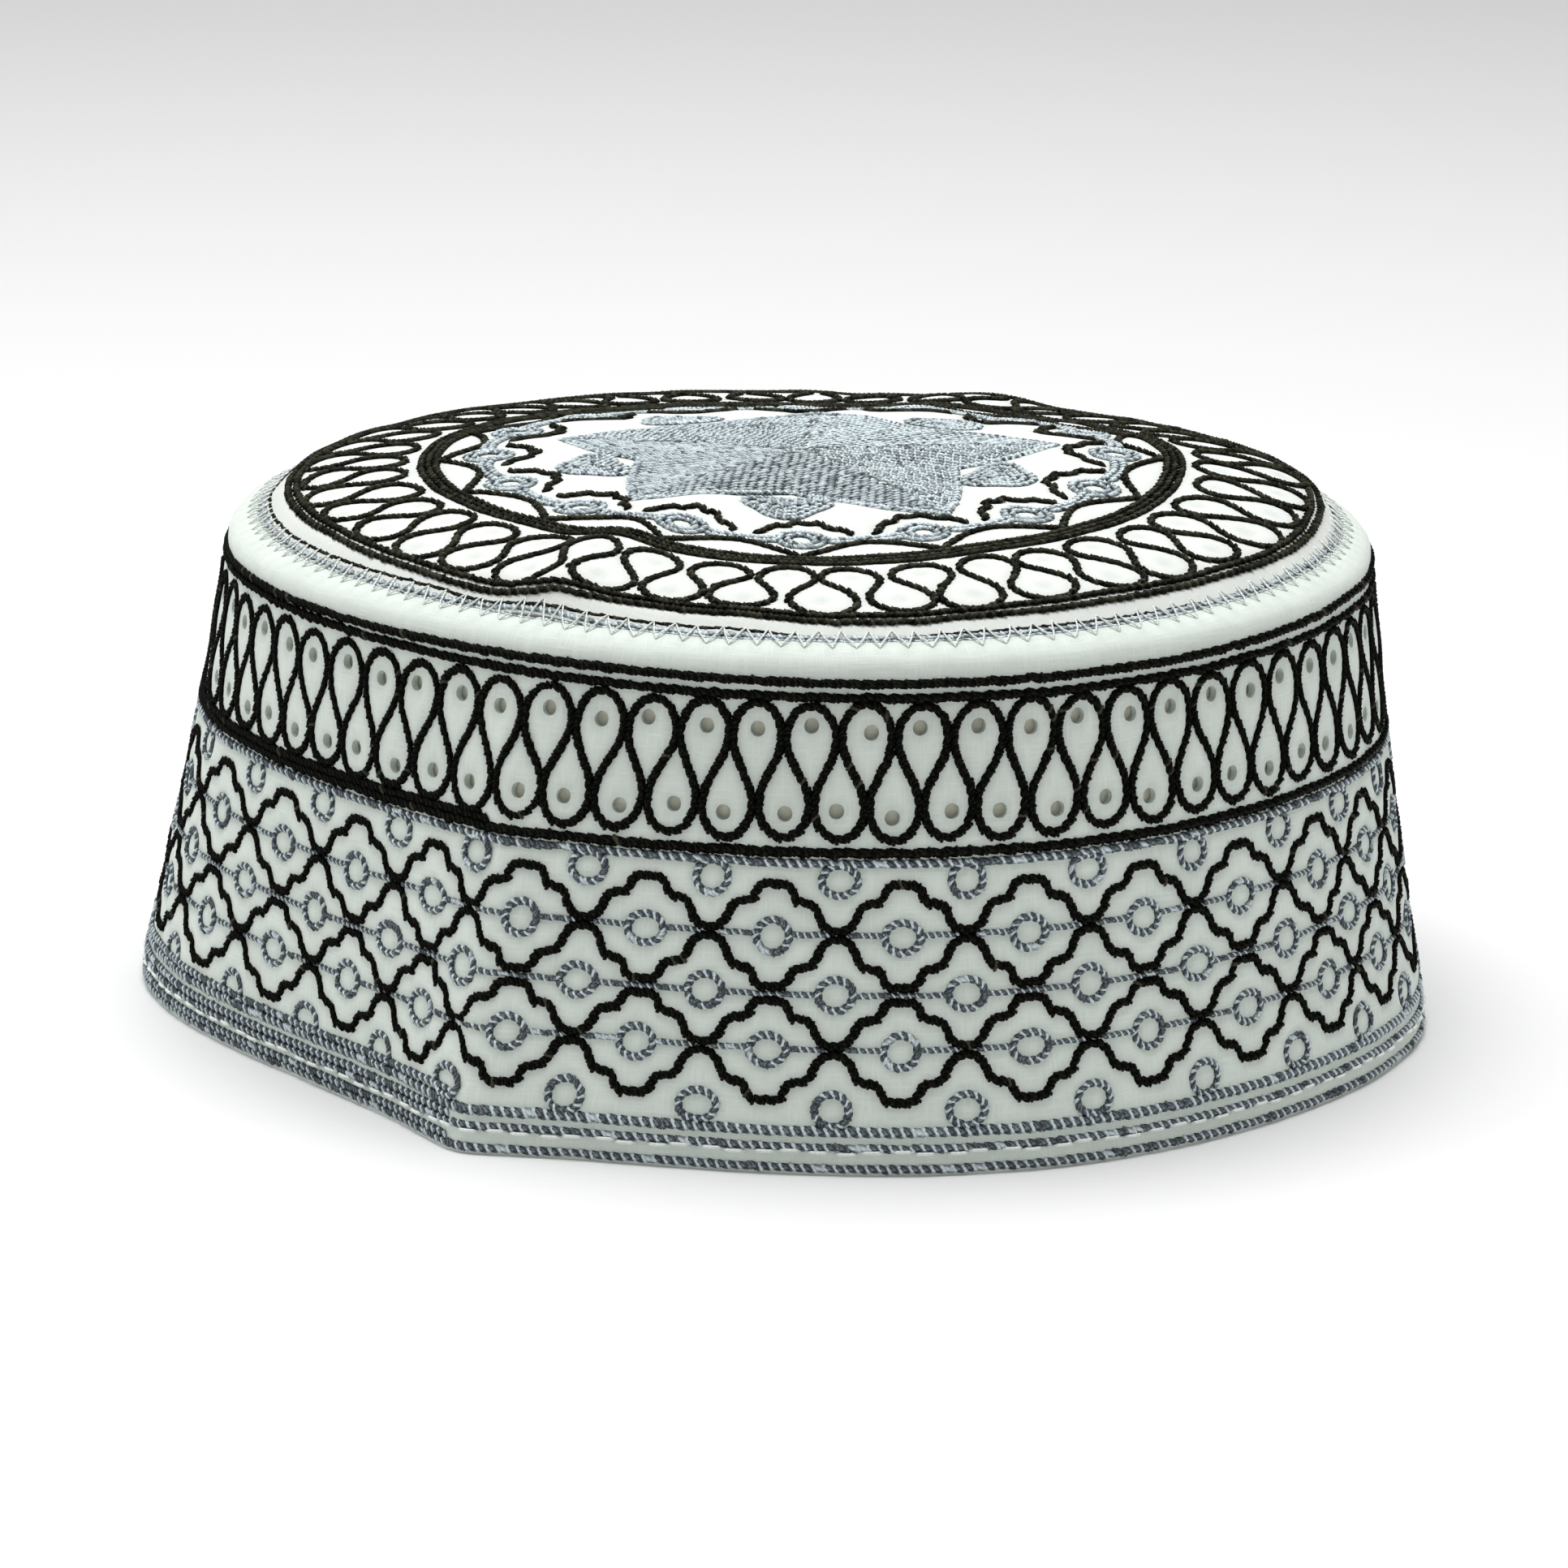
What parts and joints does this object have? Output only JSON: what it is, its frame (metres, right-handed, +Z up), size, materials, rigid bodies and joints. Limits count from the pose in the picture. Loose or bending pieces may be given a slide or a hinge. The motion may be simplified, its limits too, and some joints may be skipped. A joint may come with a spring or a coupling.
{
  "type": "kufi",
  "caption": "Stiff brimless cotton cap with a flared side band, low domed crown, eyelet rows and traditional chain-stitch embroidery.",
  "frame": {"origin": "centre of the hem's outline on the surface the cap rests on", "axes": "+Z up, X across the cap at its widest, Y along the fold crease, whose front end is at -Y"},
  "size_m": [0.1962, 0.1851, 0.0851],
  "materials": {
    "band_cotton": "matt white cotton with black and slate-grey chain stitch",
    "crown_cotton": "matt white cotton with black and slate-grey chain stitch",
    "lining_cotton": "plain matt khaki-grey cotton"
  },
  "bodies": {
    "root": {"side_band": "band_cotton", "crown": "crown_cotton", "band_lining": "lining_cotton"}
  },
  "joints": []
}
